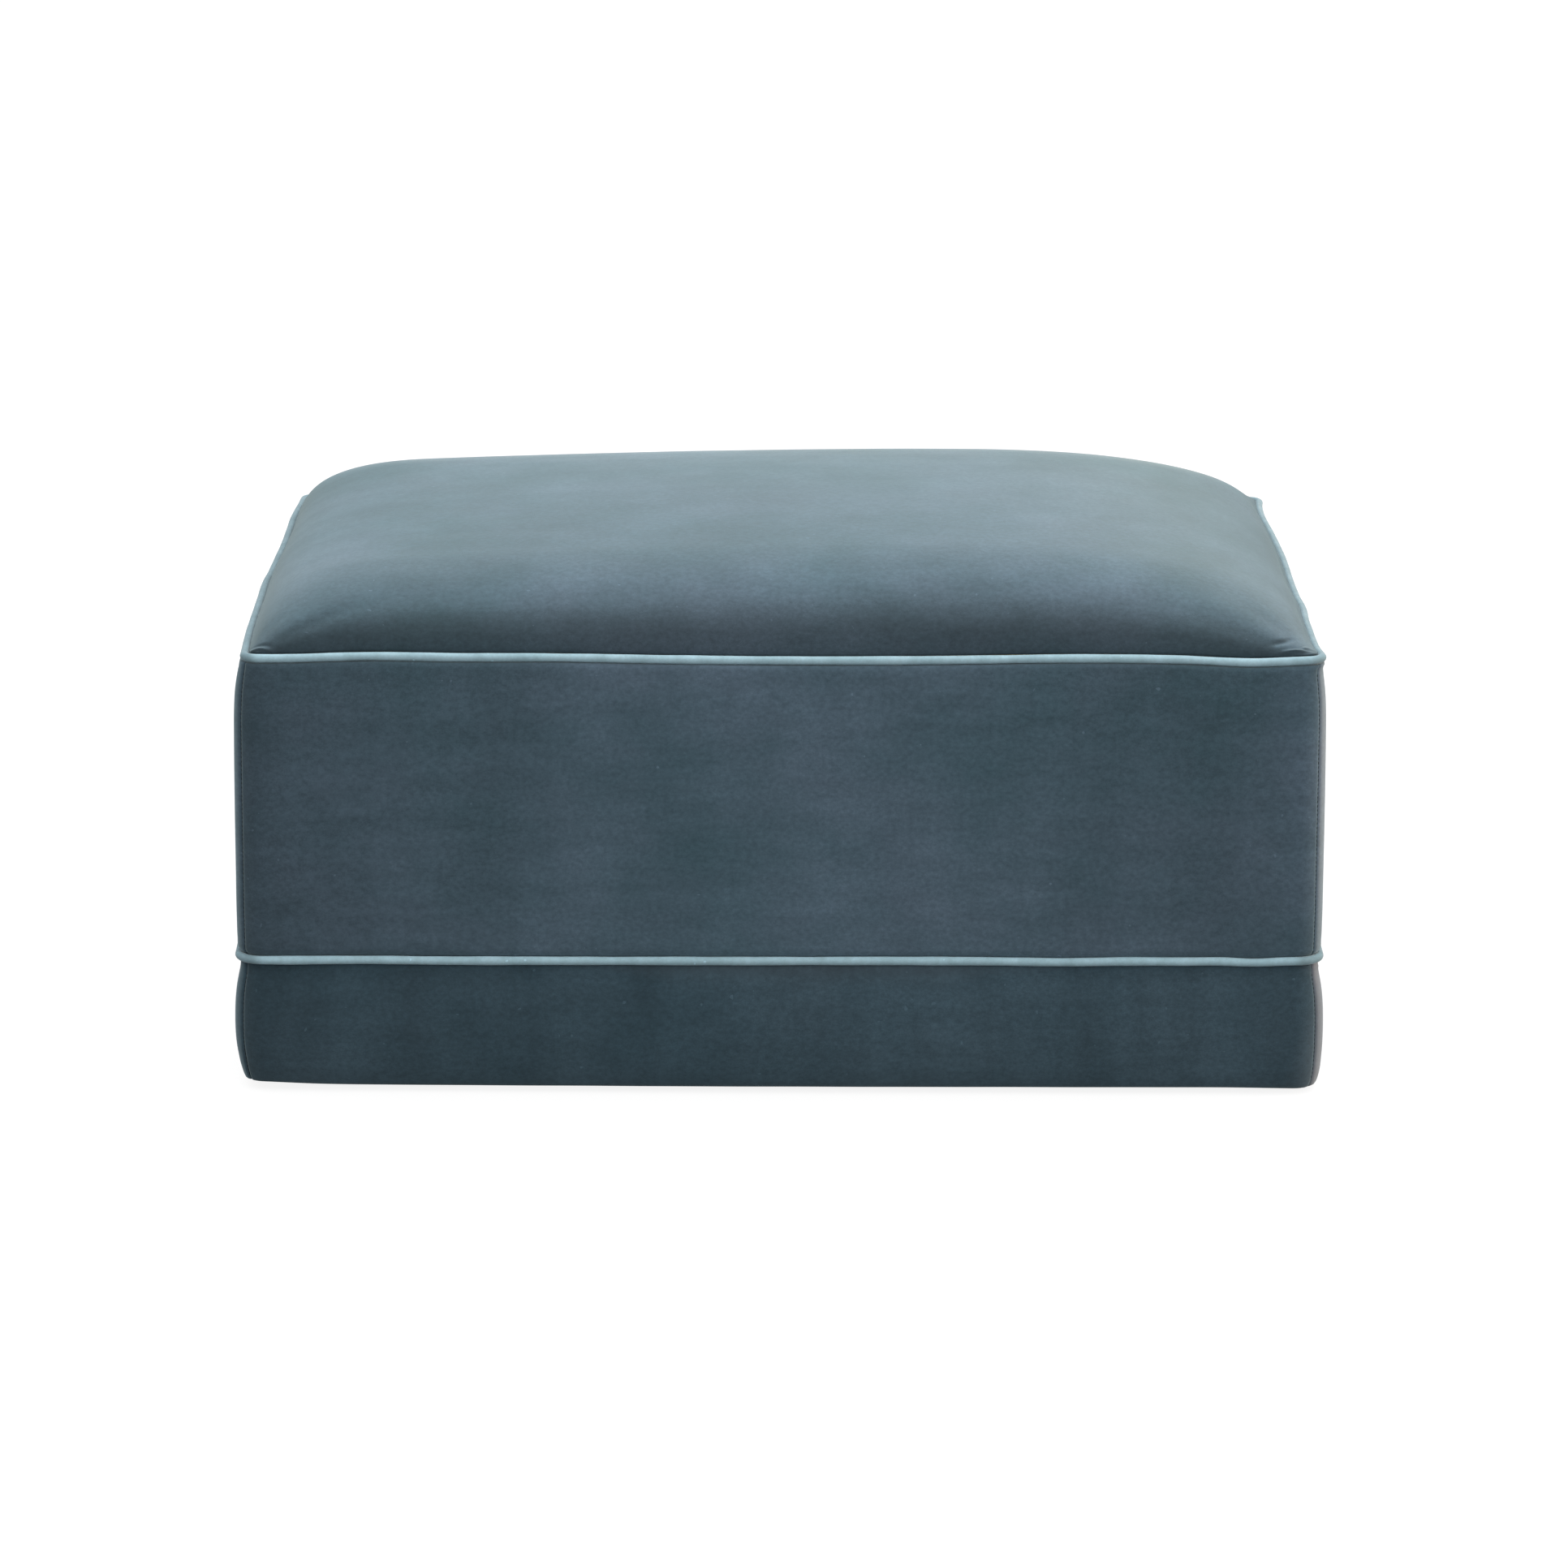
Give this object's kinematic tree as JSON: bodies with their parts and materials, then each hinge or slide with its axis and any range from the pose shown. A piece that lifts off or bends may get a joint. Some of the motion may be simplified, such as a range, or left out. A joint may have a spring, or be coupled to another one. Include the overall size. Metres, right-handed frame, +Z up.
{
  "type": "ottoman coffee table",
  "caption": "Rectangular upholstered ottoman used as a coffee table: crowned padded top, straight padded sides and a plinth band, velvet covers with contrasting piping.",
  "frame": {"origin": "centre of the footprint at floor level", "axes": "+X along the long side to the right, +Y to the back, +Z up"},
  "size_m": [1.0454, 0.7856, 0.5076],
  "materials": {
    "body_velvet": "slate blue cotton velvet, short pile with a soft brushed sheen",
    "piping_velvet": "pale blue velvet piping, brighter where it turns to the light",
    "piping_cord": "undyed twisted cotton cord",
    "foam": "open cell polyurethane foam",
    "felt": "grey needled felt",
    "dust_cloth": "black spunbond cloth",
    "frame_wood": "sawn pine and plywood, unfinished",
    "hardboard": "brown hardboard, smooth side out",
    "spring_steel": "oil tempered spring wire",
    "zinc_steel": "zinc plated steel",
    "glide_plastic": "black moulded nylon"
  },
  "bodies": {
    "root": {"back_border": "body_velvet", "back_bottom_rail": "frame_wood", "back_left_glide": "glide_plastic", "back_left_post": "frame_wood", "back_liner": "hardboard", "back_plinth_foam": "foam", "back_plinth_panel": "body_velvet", "back_right_glide": "glide_plastic", "back_right_post": "frame_wood", "back_side_foam": "foam", "back_top_rail": "frame_wood", "bottom_stretcher": "frame_wood", "clip_nails": "zinc_steel", "crown_pad": "foam", "deck_felt": "felt", "dust_cover": "dust_cloth", "frame_screws": "zinc_steel", "front_border": "body_velvet", "front_bottom_rail": "frame_wood", "front_left_glide": "glide_plastic", "front_left_post": "frame_wood", "front_liner": "hardboard", "front_plinth_foam": "foam", "front_plinth_panel": "body_velvet", "front_right_glide": "glide_plastic", "front_right_post": "frame_wood", "front_side_foam": "foam", "front_top_rail": "frame_wood", "glide_screws": "zinc_steel", "left_border": "body_velvet", "left_bottom_rail": "frame_wood", "left_liner": "hardboard", "left_plinth_foam": "foam", "left_plinth_panel": "body_velvet", "left_side_foam": "foam", "left_top_rail": "frame_wood", "lower_welt": "piping_velvet", "lower_welt_cord": "piping_cord", "right_border": "body_velvet", "right_bottom_rail": "frame_wood", "right_liner": "hardboard", "right_plinth_foam": "foam", "right_plinth_panel": "body_velvet", "right_side_foam": "foam", "right_top_rail": "frame_wood", "seat_foam": "foam", "spring_1": "spring_steel", "spring_2": "spring_steel", "spring_3": "spring_steel", "spring_4": "spring_steel", "spring_5": "spring_steel", "spring_6": "spring_steel", "spring_clips": "zinc_steel", "staples": "zinc_steel", "top_brace": "frame_wood", "top_panel": "body_velvet", "upper_welt": "piping_velvet", "upper_welt_cord": "piping_cord"}
  },
  "joints": []
}
